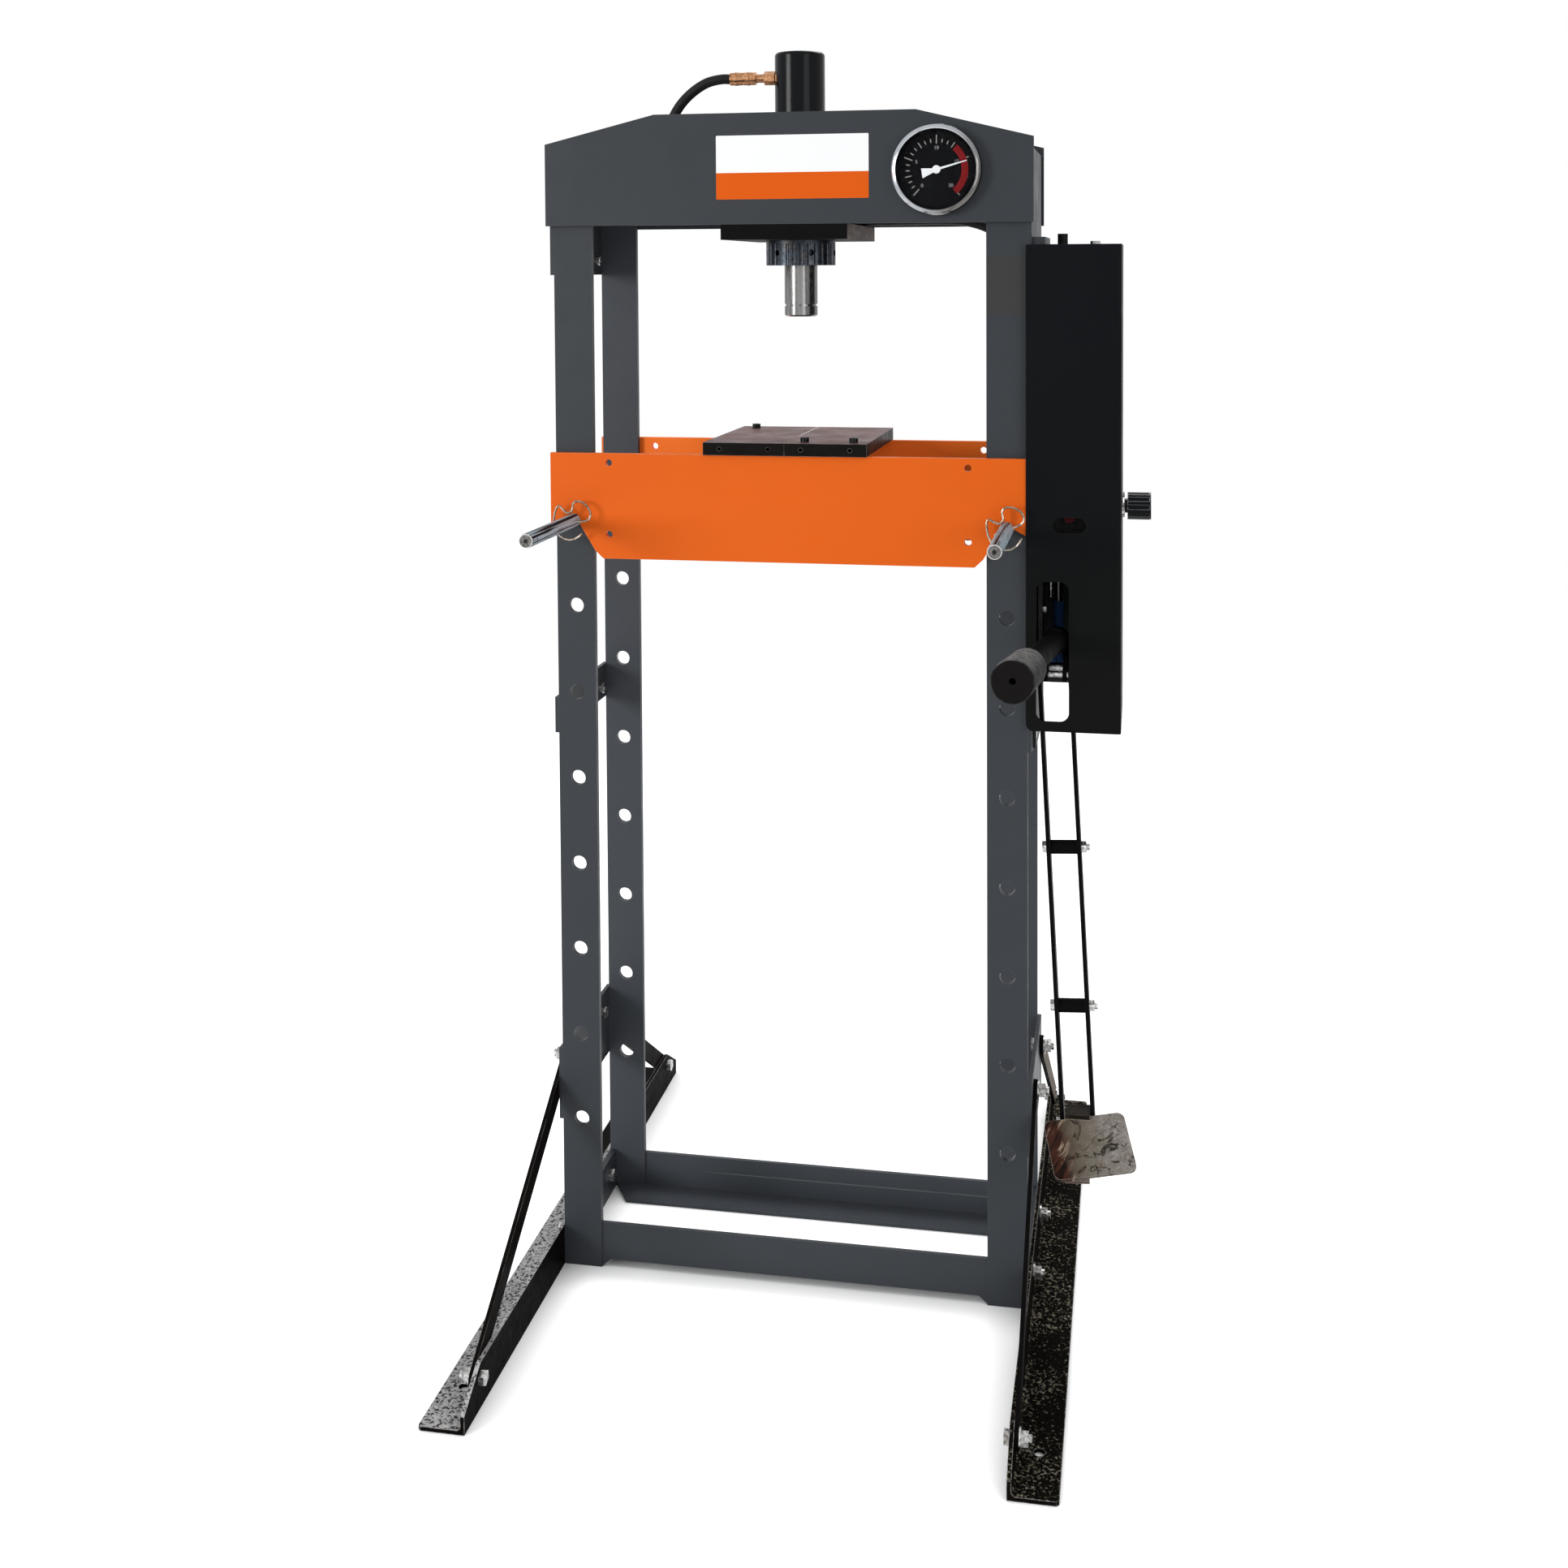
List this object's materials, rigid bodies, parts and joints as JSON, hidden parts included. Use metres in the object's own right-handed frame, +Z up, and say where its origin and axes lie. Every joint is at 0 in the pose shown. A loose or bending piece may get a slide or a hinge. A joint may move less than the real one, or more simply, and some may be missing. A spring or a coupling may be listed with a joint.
{
  "type": "hydraulic shop press",
  "caption": "H-frame hydraulic shop press with an adjustable bed, hanging ram, dial gauge and a side pump worked by a hand lever or a foot pedal.",
  "frame": {"origin": "on the floor, at the middle of the four floor bolt holes", "axes": "+Z up, -Y the operator's side, +X the side with the pump"},
  "size_m": [0.8035, 1.2594, 1.571],
  "materials": {
    "grey_paint": "satin",
    "black_paint": "satin",
    "orange_paint": "satin",
    "zinc_steel": "zinc plated",
    "bright_steel": "ground",
    "dark_steel": "oiled",
    "cast_iron": "painted rough",
    "brass": "plain",
    "hose_rubber": "matt",
    "grip_rubber": "matt",
    "chrome": "polished",
    "black_plastic": "matt",
    "red_plastic": "matt",
    "white_paint": "satin",
    "gauge_glass": "clear",
    "blue_paint": "satin",
    "worn_steel": "worn, rusty at one edge"
  },
  "bodies": {
    "press_frame": {"left_front_post": "grey_paint", "left_rear_post": "grey_paint", "right_front_post": "grey_paint", "right_rear_post": "grey_paint", "left_tie_plates": "grey_paint", "right_tie_plates": "grey_paint", "beam_front_plate": "grey_paint", "beam_rear_plate": "grey_paint", "front_base_rail": "grey_paint", "rear_base_rail": "grey_paint", "left_foot": "black_paint", "right_foot": "black_paint", "left_braces": "black_paint", "right_braces": "black_paint", "frame_bolts": "zinc_steel", "cylinder_mount_plate": "black_paint", "cylinder_body": "black_paint", "cylinder_gland": "brass", "ram_seal": "hose_rubber", "ring_nut": "dark_steel", "hose_fittings": "brass", "hydraulic_hose": "hose_rubber", "gauge_case": "black_plastic", "gauge_bezel": "chrome", "gauge_dial": "black_plastic", "gauge_glass": "gauge_glass", "gauge_line": "zinc_steel", "bed_front_plate": "orange_paint", "bed_rear_plate": "orange_paint", "bed_spacers": "orange_paint", "left_press_plate": "dark_steel", "right_press_plate": "dark_steel", "press_plate_screws": "dark_steel", "left_pin": "zinc_steel", "right_pin": "zinc_steel", "left_clip": "zinc_steel", "right_clip": "zinc_steel", "pump_bracket": "grey_paint", "pump_cover": "black_paint", "pump_screws": "zinc_steel", "pump_tank": "black_paint", "filler_cap": "black_plastic", "pump_block": "cast_iron", "valve_cap": "red_plastic", "lever_pivot_bolt": "zinc_steel"},
    "ram": {"ram": "bright_steel", "return_spring": "dark_steel"},
    "gauge_needle": {"gauge_pointer": "white_paint"},
    "hand_lever": {"lever_socket": "black_paint", "lever_tube": "black_paint", "lever_grip": "grip_rubber"},
    "plunger": {"pump_plunger": "bright_steel", "plunger_clevis": "blue_paint"},
    "release_valve": {"release_stem": "zinc_steel", "release_knob": "black_plastic"},
    "pedal": {"left_rod": "black_paint", "right_rod": "black_paint", "rod_spacers": "black_paint", "rod_bolts": "zinc_steel", "pedal_tread": "worn_steel"}
  },
  "joints": [
    {"name": "ram_slide", "type": "slide", "parent": "press_frame", "child": "ram", "axis": [0, 0, -1], "range_m": [0, 0.15], "stiffness_N_per_m": 1500, "springref_m": -0.06, "deforming": ["return_spring"]},
    {"name": "gauge_needle_turn", "type": "hinge", "parent": "press_frame", "child": "gauge_needle", "pos_m": [0.191, -0.117, 1.412], "axis": [0, -1, 0], "range_deg": [-61, 209]},
    {"name": "hand_lever_swing", "type": "hinge", "parent": "press_frame", "child": "hand_lever", "pos_m": [0.333, -0.05, 0.794], "axis": [1, 0, 0], "range_deg": [-20, 30]},
    {"name": "pump_plunger_slide", "type": "slide", "parent": "press_frame", "child": "plunger", "axis": [0, 0, 1], "range_m": [-0.0155, 0.0232]},
    {"name": "pedal_swing", "type": "hinge", "parent": "hand_lever", "child": "pedal", "pos_m": [0.333, -0.09, 0.794], "axis": [1, 0, 0], "range_deg": [-30.5, 20.5]},
    {"name": "release_knob_turn", "type": "hinge", "parent": "press_frame", "child": "release_valve", "pos_m": [0.43, -0.022, 0.994], "axis": [1, 0, 0], "range_deg": [0, 330]}
  ],
  "couplings": [
    {"joint": "pump_plunger_slide", "follows": "hand_lever_swing", "m_per_rad": 0.044},
    {"joint": "pedal_swing", "follows": "hand_lever_swing", "ratio": -1}
  ]
}
